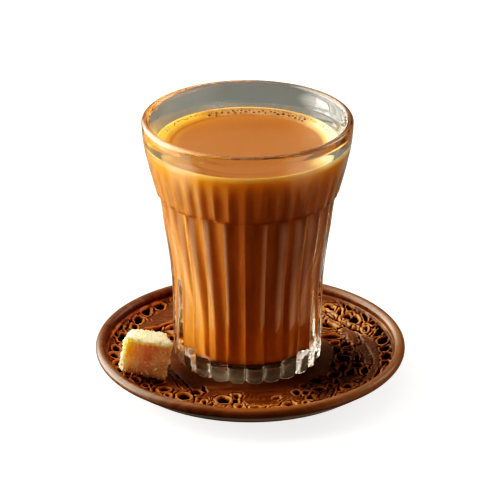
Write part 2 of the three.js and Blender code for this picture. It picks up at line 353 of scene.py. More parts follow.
def glass_material(name, ior, colour=GLASS_WALL, glass_shade=None, coat=1.0, frost=0.0, clearness=1.0):
    """Clear glass that light passes on its way to what stands behind it. A shade colour, when given, is laid
    over it as painted shade where the attribute of the same name is high."""
    n = Nodes(name)
    n.set(Base_Color=(*colour, 1), Transmission_Weight=clearness, IOR=ior)
    n.set(Coat_Weight=coat, Coat_IOR=1.5, Coat_Roughness=0.02)
    if glass_shade:
        n.link(n.mix(n.attribute("glass_shade"), colour, glass_shade), n.shader.inputs["Base Color"])
    smear = n.noise(60, 3)
    n.link(n.span(smear, 0.4, 0.8, frost, frost + 0.035), n.shader.inputs["Roughness"])
    n.bump(n.noise(45, 2), 0.08, 0.0004)
    path = n.add("ShaderNodeLightPath")
    clear = n.add("ShaderNodeBsdfTransparent")
    clear.inputs["Color"].default_value = (*GLASS_SHADOW, 1)
    mixer = n.add("ShaderNodeMixShader")
    n.link(path.outputs["Is Shadow Ray"], mixer.inputs["Fac"])
    n.link(n.shader.outputs["BSDF"], mixer.inputs[1])
    n.link(clear.outputs["BSDF"], mixer.inputs[2])
    n.link(mixer.outputs["Shader"], n.out.inputs["Surface"])
    return n.material


def chai_material():
    n = Nodes("milky_tea")
    cloud = n.noise(30, 4)
    # Painted shade: the top takes the darker of the two tones
    tea = n.mix(n.attribute("side"), n.ramp(cloud, *TEA_TOP), n.ramp(cloud, *TEA_SIDE))
    for name, low, high, amount, colour in TEA_TINTS:
        if colour is TEA_FROTH:
            colour = n.ramp(n.noise(420, 2), *TEA_FROTH)
        tea = n.mix(n.span(n.attribute(name), low, high, 0.0, amount), tea, colour)
    n.link(tea, n.shader.inputs["Base Color"])
    n.set(Roughness=0.25, IOR=1.34, Subsurface_Weight=0.35, Subsurface_Scale=0.0015)
    n.set(Subsurface_Radius=(1.0, 0.38, 0.12))
    n.bump(n.noise(220, 3), 0.08, 0.0002)
    return n.material


def bubble_material():
    n = Nodes("froth_bubble")
    # Painted highlight on the sides and painted shade on the crown
    crown = n.span(n.attribute("crown"), 0.3, 0.6, 0.0, 0.95)
    skin = n.ramp(n.noise(260, 2), *BUBBLE_SKIN)
    n.link(n.mix(crown, skin, BUBBLE_CROWN), n.shader.inputs["Base Color"])
    n.set(Roughness=0.12, IOR=1.34, Subsurface_Weight=0.2, Subsurface_Scale=0.0006)
    n.set(Subsurface_Radius=(1.0, 0.5, 0.2))
    return n.material


def sugar_material(name, depth):
    """Raw sugar; depth is how much light goes into it."""
    n = Nodes(name)
    fine = n.noise(700, 3, 0.6)
    blotch = n.noise(160, 3)
    # Painted shade: browner on the front and the right
    colour = n.mix(n.attribute("shade"), n.ramp(blotch, *SUGAR_BRIGHT), n.ramp(blotch, *SUGAR_BROWN))
    # Painted glow at the upper left of the front
    colour = n.mix(n.attribute("painted_glow"), colour, SUGAR_GLOW)
    # Painted glints: pale flecks where the fine noise is high
    colour = n.mix(n.span(fine, 0.56, 0.74, 0.0, 0.6), colour, SUGAR_GLINT)
    n.link(colour, n.shader.inputs["Base Color"])
    n.set(Roughness=0.4, Subsurface_Weight=depth, Subsurface_Scale=0.009, IOR=1.5)
    n.set(Subsurface_Radius=(1.0, 0.78, 0.48))
    n.bump(fine, 0.8, 0.0004)
    return n.material


# Carved saucer

class Relief:
    """Height of a carving over its sunk ground, from 0 to 1, on points given in millimetres."""

    def __init__(self, x, y):
        noise.seed_set(WANDER_SEED)
        moved = np.zeros((x.size, 2))
        for scale, amount in WANDER:
            spots = (Vector((u, v, NOISE_LAYER)) for u, v in zip(scale * x.ravel(), scale * y.ravel()))
            moved += amount * np.array([noise.noise_vector(spot)[:2] for spot in spots])
        self.x = x + moved[:, 0].reshape(x.shape)
        self.y = y + moved[:, 1].reshape(x.shape)
        self.blend = np.zeros_like(x)
        self.first = np.full_like(x, FAR)
        self.second = np.full_like(x, FAR)
        self.height = None
        self.pit = None

    def near(self, low, high):
        return np.nonzero((self.x > low[0]) & (self.x < high[0]) & (self.y > low[1]) & (self.y < high[1]))

    def away(self, path, widths):
        """Distance from a path over its half width, and the points that are near it."""
        path = np.asarray(path, float)[:, :2]
        widths = np.broadcast_to(np.asarray(widths, float), (len(path),))
        reach = PATH_REACH * widths.max()
        at = self.near(path.min(axis=0) - reach, path.max(axis=0) + reach)
        x, y = self.x[at], self.y[at]
        best = np.full(len(x), np.inf)
        for (p, q, wide_p, wide_q) in zip(path[:-1], path[1:], widths[:-1], widths[1:]):
            run = q - p
            t = np.clip(((x - p[0]) * run[0] + (y - p[1]) * run[1]) / max(run @ run, 1e-9), 0, 1)
            off = np.hypot(x - p[0] - t * run[0], y - p[1] - t * run[1])
            best = np.minimum(best, off / np.maximum(wide_p + (wide_q - wide_p) * t, 1e-3))
        return best, at

    def cut(self, x, y, half_x, half_y, turn=0.0):
        """Adds an oval hole: its distance is kept where it is the nearest or the second nearest, and it
        counts in the blend of all holes."""
        reach = FAR + max(half_x, half_y)
        at = self.near((x - reach, y - reach), (x + reach, y + reach))
        u, v = self.x[at] - x, self.y[at] - y
        c, s = math.cos(math.radians(turn)), math.sin(math.radians(turn))
        u, v = c * u + s * v, c * v - s * u
        out = np.hypot(u / half_x, v / half_y) + 1e-6
        steep = np.hypot(u / half_x**2, v / half_y**2) / out + 1e-6
        off = (out - 1) / steep
        first, second = self.first[at], self.second[at]
        self.second[at] = np.minimum(second, np.maximum(first, off))
        self.first[at] = np.minimum(first, off)
        self.blend[at] += np.exp(-np.clip(off, -2.0, 9.0) / HOLE_BLEND)

    def rise(self):
        """Turns the distances to the holes into rounded bars between them, with a fine groove round each
        hole and one where two holes' rims meet."""
        self.first = np.minimum(self.first, HOLE_SHIFT - HOLE_BLEND * np.log(self.blend + 1e-9))
        t = np.clip(self.first / BAR_ROUNDING, 0, 1)
        body = np.sqrt(1 - (1 - t) ** 2)
        between = np.exp(-((self.second - self.first) / 0.4) ** 2) * (1 - smooth(self.first, HOLE_RING, 2.4))
        ring = np.exp(-((self.first - HOLE_RING) / 0.3) ** 2)
        self.height = body * (1 - 0.35 * between) - 0.2 * ring
        self.pit = 1 - smooth(self.first, -0.45, 0.1)

    def bar(self, path, widths, top=1.0):
        """A round-backed bar along a path, with a half width at each of its points."""
        off, at = self.away(path, widths)
        body = np.sqrt(np.clip(1 - off**2, 0, 1))
        self.height[at] = np.where(off < 1, np.maximum(self.height[at], top * body), self.height[at])
        self.height[at] -= 0.3 * np.exp(-((off - 1.15) / 0.18) ** 2) * (self.pit[at] < 0.1)
        self.pit[at] *= smooth(off, 0.6, 1.05)

    def groove(self, path, widths, depth=0.7):
        off, at = self.away(path, widths)
        self.height[at] -= depth * (1 - smooth(off, 0.3, 1.0))

    def level(self, mask, top):
        """A smooth plate where the mask is 1."""
        self.height += mask * (top - self.height)
        self.pit *= 1 - mask

    def ring(self, x, y, half_x, half_y, bar):
        a = np.linspace(0, TAU, 25)
        self.bar(np.stack([x + half_x * np.cos(a), y + half_y * np.sin(a)], axis=1), bar)


# The carving seen in the photograph, in millimetres from the saucer's centre.
# Holes: x, y, half width, half depth
CUTS = [
    # rear right
    (29.3, 35.9, 1.4, 1.4), (32.8, 32.6, 0.7, 2.2), (37.2, 35.1, 1.3, 1.9), (38.1, 26.2, 1.4, 2.8),
    (36.0, 29.0, 1.0, 1.0), (42.5, 26.7, 0.6, 2.2), (42.0, 18.2, 0.6, 1.5), (39.8, 20.6, 0.8, 1.1),
    (48.0, 17.6, 1.6, 2.4), (46.0, 14.0, 1.5, 1.8), (48.0, 7.8, 1.8, 2.4), (48.7, 1.6, 1.7, 2.2),
    (44.6, 22.6, 1.2, 0.8), (29.3, 23.6, 3.1, 2.1), (29.2, 14.2, 3.6, 1.6), (35.0, 7.4, 1.7, 2.6),
    (31.3, 4.0, 1.5, 2.0), (31.2, 9.2, 1.4, 0.9),
    # right
    (33.5, -2.9, 2.3, 2.4), (38.3, -3.4, 1.0, 2.2), (38.1, -8.8, 1.6, 2.0), (33.1, -10.5, 1.2, 3.0),
    (29.6, -7.8, 1.0, 1.6), (29.8, -16.7, 2.2, 2.0), (36.0, -15.0, 1.2, 2.4), (41.0, -14.5, 1.0, 2.8),
    (48.8, -4.6, 1.5, 2.3), (48.2, -10.8, 1.2, 2.4), (44.8, -15.0, 1.0, 2.8), (43.6, -19.4, 0.9, 1.8),
    # front right
    (16.2, -30.1, 1.2, 1.8), (19.5, -30.5, 1.1, 1.4), (24.1, -27.8, 1.5, 1.3), (34.8, -25.9, 1.2, 1.8),
    (22.6, -20.5, 3.2, 1.5), (33.1, -31.8, 2.5, 0.9), (13.6, -40.2, 1.8, 1.4), (25.4, -39.7, 0.6, 1.1),
    (39.3, -25.0, 1.0, 2.0), (28.4, -25.0, 1.2, 1.5), (30.8, -21.6, 1.0, 1.2), (21.4, -34.6, 0.9, 1.6),
    (19.8, -39.4, 0.6, 1.2), (29.6, -35.6, 0.8, 1.0), (31.6, -28.0, 0.7, 1.4), (18.6, -24.6, 1.2, 1.0),
    # front
    (2.8, -42.1, 2.2, 0.8), (9.2, -43.6, 1.5, 0.7), (0.4, -37.3, 0.9, 1.5), (-3.9, -41.2, 0.7, 1.4),
    (-5.1, -35.8, 0.9, 1.9), (-4.9, -32.4, 0.8, 0.8), (-9.5, -36.3, 1.8, 2.9), (-13.7, -40.9, 0.8, 2.0),
    (-16.1, -38.3, 0.5, 1.4), (-18.4, -40.9, 0.7, 1.2), (-7.2, -45.8, 1.2, 0.7), (-0.5, -45.6, 1.2, 0.7),
    # front left
    (-23.1, -33.9, 1.9, 2.9), (-30.2, -28.6, 1.7, 1.5), (-33.5, -29.2, 0.6, 1.6), (-36.8, -26.3, 1.0, 1.2),
    (-28.6, -34.0, 0.7, 1.4), (-40.2, -22.6, 0.9, 1.4), (-43.2, -18.0, 0.8, 1.6), (-33.6, -34.2, 1.6, 0.7),
    # rear left
    (-33.6, 36.1, 1.8, 1.6), (-38.6, 31.8, 1.3, 2.2), (-41.2, 25.0, 1.3, 2.4), (-42.6, 20.0, 0.7, 1.8),
    (-47.6, 18.6, 0.7, 2.0), (-46.4, 11.4, 1.3, 3.0), (-48.9, 13.4, 0.5, 1.2), (-48.0, 1.8, 1.3, 2.0),
    (-48.6, -3.8, 1.1, 1.8), (-44.6, 27.4, 0.6, 1.2), (-45.0, 6.0, 1.0, 1.6), (-44.8, -2.0, 1.2, 1.8),
    (-47.2, -9.8, 1.2, 2.2), (-43.6, -8.6, 1.0, 1.8), (-46.4, -15.4, 0.9, 1.8),
]
# Raised bars: half width, then points
BARS = [
    (1.0, (26.0, 31.8), (30.5, 25.5), (35.5, 19.1), (38.6, 13.5)),
    (0.9, (27.5, 36.2), (33.0, 29.0), (38.0, 22.3), (42.0, 16.8)),
    (1.1, (24.5, 18.3), (31.8, 18.3)),
    (2.3, (34.8, 18.6), (38.0, 9.5)),
    (0.8, (28.4, 29.4), (26.3, 25.0)),
    (0.8, (26.5, 39.2), (34.0, 37.6)),
    (0.9, (33.2, 40.0), (34.1, 35.5), (34.3, 31.5), (33.2, 27.6)),
    (0.8, (35.5, 32.2), (38.2, 31.4), (40.0, 28.2), (40.4, 24.5), (39.3, 22.4)),
    (0.7, (41.0, 22.6), (45.0, 20.9), (48.6, 20.4)),
    (0.5, (43.9, 12.3), (46.9, 19.1)), (0.5, (46.4, 10.0), (50.2, 13.6)),
    (0.5, (46.9, 4.0), (50.6, 6.4)), (0.5, (47.0, -1.2), (50.7, -1.6)), (0.5, (46.6, -7.6), (50.4, -8.0)),
    (0.7, (34.0, 5.0), (36.8, 6.3), (38.7, 3.1), (39.2, -1.0), (38.6, -5.2)),
    (0.6, (31.0, -0.8), (29.6, -5.2), (31.4, -8.4)),
    (0.5, (41.2, -27.0), (46.4, -17.0), (48.6, -11.0)),
    (0.7, (35.8, -7.2), (35.4, -12.0), (33.8, -14.6)),
    (0.8, (26.4, -26.0), (25.8, -30.5), (23.4, -36.6)),
    (0.7, (29.8, -29.2), (29.3, -32.0), (27.6, -36.6)),
    (0.7, (6.2, -41.4), (9.9, -38.4), (12.6, -35.1), (15.2, -38.2), (17.6, -41.0), (18.2, -43.0)),
    (0.7, (-1.4, -39.2), (2.4, -40.5), (6.2, -41.4)),
    (0.5, (-6.0, -44.6), (4.0, -45.3), (12.0, -44.4), (22.0, -41.6)),
    (0.6, (-6.8, -31.4), (-6.9, -37.6)), (0.9, (-7.3, -40.6), (-7.4, -43.6)),
    (0.6, (-2.6, -37.6), (-1.7, -44.2)),
    (0.9, (-12.6, -34.2), (-12.7, -37.4), (-11.0, -40.6), (-8.8, -41.4)),
    (0.9, (-20.7, -35.4), (-20.6, -37.4)),
    (0.5, (-35.6, -24.6), (-34.5, -30.6)), (0.5, (-32.3, -26.6), (-31.9, -31.8)),
    (0.9, (-37.2, 37.6), (-36.2, 31.8)), (0.8, (-42.5, 30.8), (-40.0, 28.2), (-37.6, 26.6)),
    (0.7, (-45.2, 24.2), (-46.2, 18.6), (-45.0, 15.4)),
]
# Rings round holes: x, y, half width, half depth, half width of the bar
RINGS = [(42.0, 18.2, 1.5, 2.8, 0.6), (34.8, -25.9, 2.6, 3.6, 0.7), (16.2, -30.1, 2.1, 2.7, 0.6),
         (19.8, -30.6, 2.0, 2.3, 0.6), (24.1, -27.8, 2.3, 2.1, 0.6), (-9.5, -36.3, 2.7, 3.8, 0.8),
         (-23.1, -33.9, 2.8, 3.8, 0.8), (-30.2, -28.6, 2.5, 2.3, 0.6), (-36.8, -26.3, 1.8, 2.0, 0.5)]
# Grooves: half width, then points
GROOVES = [
    (0.75, (26.5, 34.0), (33.5, 25.3), (40.8, 15.7)),
    (0.9, (-28.0, 25.4), (-34.2, 21.5), (-37.9, 19.1)),
    (0.8, (-28.4, 21.0), (-35.5, 18.2)),
    (0.8, (-15.9, -25.0), (-15.8, -29.2)),
    (0.4, (-26.0, -17.0), (-20.0, -29.0)), (0.3, (-29.0, -16.0), (-24.0, -28.0)),
]


def ridge_radius(azimuths):
    """Where the wide smooth ridge runs on the right side, and a narrow one that goes on behind the glass."""
    knots = {-180: 41, -160: 41.5, 50: 46.2, 58: 46.6, 65: 46.7, 79: 46.3, 90: 45.4, 101: 43.6, 110: 40.9,
             123: 39.5, 138: 41.6, 158: 41.6, 180: 41}
    return np.interp(azimuths, list(knots), list(knots.values()))


def plain_plates(radius, azimuth):
    """1 on the smooth patches that were left uncarved."""
    def within(value, low, high, soft):
        return smooth(value, low - soft, low + soft) * (1 - smooth(value, high - soft, high + soft))

    def patch(start, end, inner, outer):
        return within(azimuth, start, end, 2) * within(radius, inner, outer, 0.5)

    front = patch(-3, 13, 20, 40.6)
    front_left = patch(-66, -14, 20, 33.5) + patch(-62, -40, 32, 37.5)
    rear_left = patch(-142, -124, 39.5, 46.5) + patch(-126, -112, 42, 45.4)
    return np.clip(front + patch(10, 26, 20, 32) + front_left + rear_left, 0, 1)


def free_spots(rng):
    """Holes for the rest of the band, spread on rings, wherever nothing listed has been placed."""
    taken = [(x, y, max(half_x, half_y)) for x, y, half_x, half_y in CUTS]
    for half, *points in BARS:
        for p, q in zip(points[:-1], points[1:]):
            count = int(math.dist(p, q) / 1.2) + 2
            taken += [(*(np.array(p) + (np.array(q) - p) * t), half) for t in np.linspace(0, 1, count)]
    taken = np.array(taken)
    spots = []
    for radius, spacing in ((31.2, 4.4), (35.4, 4.8), (39.6, 5.0), (44.8, 4.4), (49.0, 4.6)):
        count = int(TAU * radius / spacing)
        for k in range(count):
            azimuth = 360 * (k + rng.uniform(-0.25, 0.25)) / count - 180
            r = radius + rng.uniform(-0.8, 0.8)
            half_x, half_y = rng.uniform(0.6, 1.5), rng.uniform(1.0, 2.0)
            x, y, _ = place(r, azimuth)
            room = (np.hypot(taken[:, 0] - x, taken[:, 1] - y) - taken[:, 2]).min()
            on_ridge = (44 < azimuth or azimuth < -155) and abs(r - float(ridge_radius(azimuth))) < 2.9
            on_plate = float(plain_plates(r, azimuth)) > 0.1
            on_front_edge = r > 47 and -68 < azimuth < 62
            if on_ridge or on_plate or on_front_edge or room < half_y + 0.9:
                continue
            spots.append((x, y, half_x, half_y, rng.uniform(-70, 70)))
    return spots


def carve(relief):
    """Holes first, then the plates, the ridge, the bars, the rings and the grooves over them."""
    rng = np.random.default_rng(7)
    radius = np.hypot(relief.x, relief.y)
    azimuth = np.degrees(np.arctan2(relief.x, -relief.y))
    for cut in CUTS + free_spots(rng):
        relief.cut(*cut)
    relief.rise()
    relief.level(plain_plates(radius, azimuth), PLATE_TOP)
    wide, narrow = np.arange(44, 150.1, 3), np.arange(150, 205.1, 3)
    for around, half in ((wide, np.maximum(1.75 * smooth(wide, 44, 60), 0.2)), (narrow, 1.1)):
        relief.bar([place(float(ridge_radius((a + 180) % 360 - 180)), a) for a in around], half)
    for half, *points in BARS:
        relief.bar(points, half)
    for ring in RINGS:
        relief.ring(*ring)
    for half, *points in GROOVES:
        relief.groove(points, half)
    relief.height = np.clip(relief.height, 0, 1.05)


def saucer_top(radius):
    rise = np.maximum(0, (radius - FLOOR_RADIUS) / (SLOPE_RADIUS - FLOOR_RADIUS))
    return FLOOR_HEIGHT + (SLOPE_HEIGHT - FLOOR_HEIGHT) * rise ** 2


def soften(field, times):
    """Average of each point with its neighbours, round and across, repeated."""
    for _ in range(times):
        field = (field + np.roll(field, 1, 1) + np.roll(field, -1, 1)) / 3
        field = (field + np.vstack([field[:1], field[:-1]]) + np.vstack([field[1:], field[-1:]])) / 3
    return field


def make_saucer():
    azimuths = np.arange(SAUCER_SIDES) * 360 / SAUCER_SIDES - 180
    # Profile as radius and height: the underside, the rolled rim, then the carved top inwards
    under = [(2, 0), (BASE_RADIUS - 0.6, 0), (BASE_RADIUS, 0.05), (BASE_RADIUS + 1.4, 0.7), (47.5, 3.8),
             (51.5, 6.6)]
    turns = np.radians(np.arange(-62, 220, 12))
    rim_middle = SAUCER_RADIUS - RIM_TUBE
    tube = [(rim_middle + RIM_TUBE * math.cos(t), RIM_HEIGHT + RIM_TUBE * math.sin(t)) for t in turns]
    band = np.concatenate([[51.9], np.arange(51.5, FLOOR_RADIUS - BAND_STEP, -BAND_STEP), [26, 20, 10]])
    top = saucer_top(np.minimum(band, SLOPE_RADIUS))

    x = np.outer(band, np.sin(np.radians(azimuths)))
    y = -np.outer(band, np.cos(np.radians(azimuths)))
    relief = Relief(x, y)
    carve(relief)
    inside = smooth(band, FLOOR_RADIUS, FLOOR_RADIUS + 2.5)
    inside = np.outer(inside * (1 - smooth(band, SLOPE_RADIUS - 0.5, SLOPE_RADIUS)), np.ones(SAUCER_SIDES))
    height = 1 - inside * (1 - relief.height)
    spots = (Vector((u * 0.5, v * 0.5, NOISE_LAYER)) for u, v in zip(x.ravel(), y.ravel()))
    marks = np.array([noise.noise(spot) for spot in spots]).reshape(x.shape)
    carved = top[:, None] - CARVE_DEPTH * (1 - height) - PIT_DEPTH * relief.pit * inside
    carved -= inside * (0.16 + 0.3 * np.abs(marks))
    floor = np.interp(band, [r for r, _ in under], [h for _, h in under]) + LEAST_THICKNESS
    carved = np.maximum(carved, floor[:, None])

    profile = under + tube
    rings = len(profile)
    radii = np.array([r for r, _ in profile] + band.tolist())
    heights = np.vstack([np.outer([h for _, h in profile], np.ones(SAUCER_SIDES)), carved])
    points, faces = revolve(radii, heights, azimuths)
    piece = add_mesh("saucer_carved", points, faces, wood_material("carved_wood", 0.05, 0.34))
    piece.data.materials.append(wood_material("polished_rim", 0.3, 0.3))
    ring_of = np.arange(len(piece.data.polygons)) // SAUCER_SIDES
    polished = (ring_of >= len(under) - 1) & (ring_of < rings)
    piece.data.polygons.foreach_set("material_index", polished.astype(np.int32))

    # Height of the carving, lower in the pits; the wood is painted near black where it is low, as painted
    # shade in the holes
    lift = np.vstack([np.ones((rings, SAUCER_SIDES)), height - 0.5 * relief.pit * inside])
    # Painted shadow: the carving is painted darker at the right, where the glass's shadow falls, at the left
    # beside the glass and on the rear right edge
    painted_shade = np.outer(0.8 - 0.4 * smooth(band, 40, 44) - 0.4 * smooth(band, 46, 49), arc(azimuths, 68, 26, 50))
    painted_shade += 0.8 * np.outer(1 - smooth(band, 32, 38), arc(azimuths, -55, 14, 34))
    painted_shade += 0.6 * np.outer(smooth(band, 48.2, 50.0), arc(azimuths, 112, 22, 40))
    # Raised edges are lighter, as wear with a painted highlight on it, and the band's edge at the front and
    # the rim at the right front are painted lighter, as painted light
    edges = (carved - soften(carved, 6)) * (1 - 0.75 * np.clip(painted_shade, 0, 1))
    edges += 0.13 * np.outer(smooth(band, 48.6, 50.2), arc(azimuths, -8, 36, 60))
    on_rim = np.array([0.0] * (len(under) - 2) + [1.0] * (len(tube) + 2))
    worn_and_lit = np.vstack([0.1 * np.outer(on_rim, arc(azimuths, 50, 45, 80)), edges])
    # Painted contact shadow: the wood is painted darker round the foot of the glass
    beyond = np.hypot(points[:, 0] - GLASS_X, points[:, 1]) - FOOT_RADIUS
    contact_shadow = 0.6 * (1 - smooth(beyond, -0.5, 5.5)) * (points[:, 2] > 5)
    shadow = np.append(np.vstack([np.zeros((rings, SAUCER_SIDES)), painted_shade]).ravel(), [0, 0])
    value_on(piece, "relief", np.append(lift.ravel(), [1, 1]))
    value_on(piece, "worn_and_lit", np.append(worn_and_lit.ravel(), [0, 0]))
    value_on(piece, "under", np.clip(np.maximum(contact_shadow, shadow), 0, 1))
    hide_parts("saucer")
    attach(piece, "root")


# Glass and chai

def curve_through(points, heights):
    """Radius at each height on a smooth curve through points of height and radius."""
    h, r = np.array(points, float).T
    slopes = np.gradient(r, h)
    i = np.clip(np.searchsorted(h, heights) - 1, 0, len(h) - 2)
    gap = h[i + 1] - h[i]
    t = np.clip((heights - h[i]) / gap, 0, 1)
    a, b = 2 * t**3 - 3 * t**2 + 1, t**3 - 2 * t**2 + t
    return a * r[i] + b * gap * slopes[i] + (1 - a) * r[i + 1] + (t**3 - t**2) * gap * slopes[i + 1]


# Outside and inside of the glass: height above its foot, and radius
OUTLINE = [(0, FOOT_RADIUS + 0.1), (5, FOOT_RADIUS + 0.4), (17, 26.8), (30, 27.0), (45, 28.5), (60, 31.1),
           (75.4, 34.9), (83.5, 36.5), (LIP_START, RIM_RADIUS)]
HOLLOW = [(HOLLOW_FLOOR + HOLLOW_CORNER, HOLLOW_LOW), (24, HOLLOW_LOW + 0.8), (39, 22.5), (54, 25.5),
          (64, 27.7), (74, 29.9), (82.2, 31.4), (86.4, 32.9), (LIP_START, HOLLOW_RIM)]


def hollow_profile(top):
    """Radius and height from the hollow's floor, round its corner and up its wall."""
    middle, centre = HOLLOW_LOW - HOLLOW_CORNER, HOLLOW_FLOOR + HOLLOW_CORNER
    turns = np.radians(np.arange(-85, 0.1, 8.5))
    low = [(middle + HOLLOW_CORNER * math.cos(t), centre + HOLLOW_CORNER * math.sin(t)) for t in turns]
    steps = STEP_HEIGHT + np.array([-0.5, -0.25, 0.0])
    heights = np.sort(np.append(np.arange(HOLLOW_FLOOR + 3.5, top, 1.5), steps))
    wall = list(zip(curve_through(HOLLOW, heights), heights))
    return [(4, HOLLOW_FLOOR)] + low + wall


def rib_cut(azimuths, height):
    """How far the outside is cut back between the ribs, deeper and squarer at the foot."""
    collar = height > STEP_HEIGHT
    turns = (azimuths - RIB_START) * (RIBS_COLLAR if collar else RIBS_BODY) / 360
    across = np.abs(2 * (turns - np.floor(turns)) - 1)
    if collar:
        return RIB_DEPTH_COLLAR * (1 - smooth(height, RIB_TOP - 7, RIB_TOP)) * across**2.2
    foot = 1 - smooth(height, 5, 12)
    depth = RIB_DEPTH_BODY + RIB_DEPTH_FOOT * foot
    round_end = 1.1 * foot * (1 - smooth(height, 0, 2.4)) * across**2
    return depth * across ** (2.2 + 1.8 * foot) * smooth(height, -0.9, 0.3) + round_end


def make_glass():
    azimuths = np.arange(GLASS_SIDES) * 360 / GLASS_SIDES + RIB_START
    # Profile as radius and height: punt, foot, body, collar, lip, and down the hollow
    profile = [(8, PUNT_HEIGHT), (PUNT_RADIUS - 2, PUNT_HEIGHT), (PUNT_RADIUS - 0.5, 0.25), (PUNT_RADIUS, 0)]
    profile += [(FOOT_RADIUS - inset, h) for inset, h in ((1.6, 0), (1.0, 0.1), (0.4, 0.45), (0, 1.1))]
    close_below = STEP_HEIGHT - np.array([1.7, 1.2, 0.8, 0.45, 0.2])
    below = np.append(np.arange(1.8, STEP_HEIGHT - 2, 1.2), close_below)
    tuck = STEP_DEPTH * smooth(below, STEP_HEIGHT - 14, STEP_HEIGHT - 0.3)
    profile += list(zip(curve_through(OUTLINE, below) - tuck, below))
    close_above = STEP_HEIGHT + np.array([0.05, 0.3, 0.7, 1.3])
    above = np.append(close_above, np.arange(STEP_HEIGHT + 2.5, LIP_START, 1.6))
    rounding = 0.35 * (1 - smooth(above, STEP_HEIGHT, STEP_HEIGHT + 0.7))
    profile += list(zip(curve_through(OUTLINE, above) - rounding, above))
    first_lip = len(profile)
    lip_inner = HOLLOW_RIM + LIP_INSET
    middle, half = (RIM_RADIUS + lip_inner) / 2, (RIM_RADIUS - lip_inner) / 2
    lip_turns = np.radians(np.arange(0, 180.1, 15))
    lip_height = GLASS_HEIGHT - LIP_RISE
    profile += [(middle + half * math.cos(t), lip_height + LIP_RISE * math.sin(t)) for t in lip_turns]
    first_inner = len(profile)
    profile += hollow_profile(LIP_START + 0.4)[::-1]
    radii, heights = (np.array(column) for column in zip(*profile))
    cuts = np.zeros((len(profile), GLASS_SIDES))
    for i, (radius, height) in enumerate(profile):
        if i < first_lip and radius > PUNT_RADIUS + 1:
            cuts[i] = rib_cut(azimuths, height)
        elif i >= first_inner and radius > HOLLOW_LOW - 1:
            cuts[i] = -chai_rib(azimuths, height)
    points, faces = revolve(radii[:, None] - cuts, heights, azimuths)
    points = points + [GLASS_X, 0, GLASS_FOOT]
    piece = add_mesh("ribbed_tumbler", points, faces, glass_material("clear_glass", WALL_IOR))
    mesh = piece.data
    mesh.materials.append(glass_material("clear_glass_rim", THICK_IOR, glass_shade=RIM_SHADE, coat=0.8))
    foot = glass_material("clear_glass_foot", THICK_IOR, GLASS_FOOT_COLOUR, FOOT_SHADE, 0.6, 0.06, 0.8)
    mesh.materials.append(foot)
    middles = np.empty(len(mesh.polygons) * 3)
    mesh.polygons.foreach_get("center", middles)
    height = middles.reshape(-1, 3)[:, 2] / MM - GLASS_FOOT
    kind = np.where(height < THICK_FOOT, 2, np.where(height > THICK_RIM, 1, 0))
    mesh.polygons.foreach_set("material_index", kind.astype(np.int32))

    # Painted shade: the lip is painted darker at the back and the foot at the left
    ring = np.arange(len(profile))
    lip_part = 0.8 * np.exp(-((ring - first_lip - 5.0) / 2.6) ** 2)
    foot_part = (1 - smooth(heights, THICK_FOOT, THICK_FOOT + 2)) * (ring < first_lip)
    glass_shade = np.outer(lip_part, arc(azimuths, 170, 85, 140))
    glass_shade += np.outer(foot_part, arc(azimuths, -100, 35, 70))
    value_on(piece, "glass_shade", np.append(glass_shade.ravel(), [0, 0]))
    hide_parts("glass")
    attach(piece, "root")


def chai_rib(azimuths, height):
    """How far the hollow and the chai widen behind each rib of the glass, and above the step."""
    bulges = []
    for ribs in (RIBS_BODY, RIBS_COLLAR):
        turns = (azimuths - RIB_START) * ribs / 360
        across = 2 * (turns - np.floor(turns)) - 1
        bulges.append(0.3 * across**2 + 0.35 * (1 - np.cos(math.pi * across)))
    collar = smooth(height, STEP_HEIGHT - 1.5, STEP_HEIGHT + 1.5)
    start = smooth(height, HOLLOW_FLOOR, HOLLOW_FLOOR + 3)
    end = 1 - smooth(height, RIB_TOP - 8, RIB_TOP + 1)
    step = smooth(height, STEP_HEIGHT - 0.5, STEP_HEIGHT)
    step *= 1 - smooth(height, CHAI_LEVEL + 0.6, CHAI_LEVEL + 5)
    ribs = (1 - collar) * CHAI_RIB_BODY * bulges[0] + collar * end * CHAI_RIB_COLLAR * bulges[1]
    return start * ribs + CHAI_STEP * step


def chai_surface(distance):
    """Height of the tea at a distance from the glass."""
    froth = FROTH_RISE * (1 - smooth(distance, FROTH_WIDTH - 1.5, FROTH_WIDTH))
    return CHAI_LEVEL + froth + MENISCUS_RISE * np.exp(-distance / MENISCUS_WIDTH)


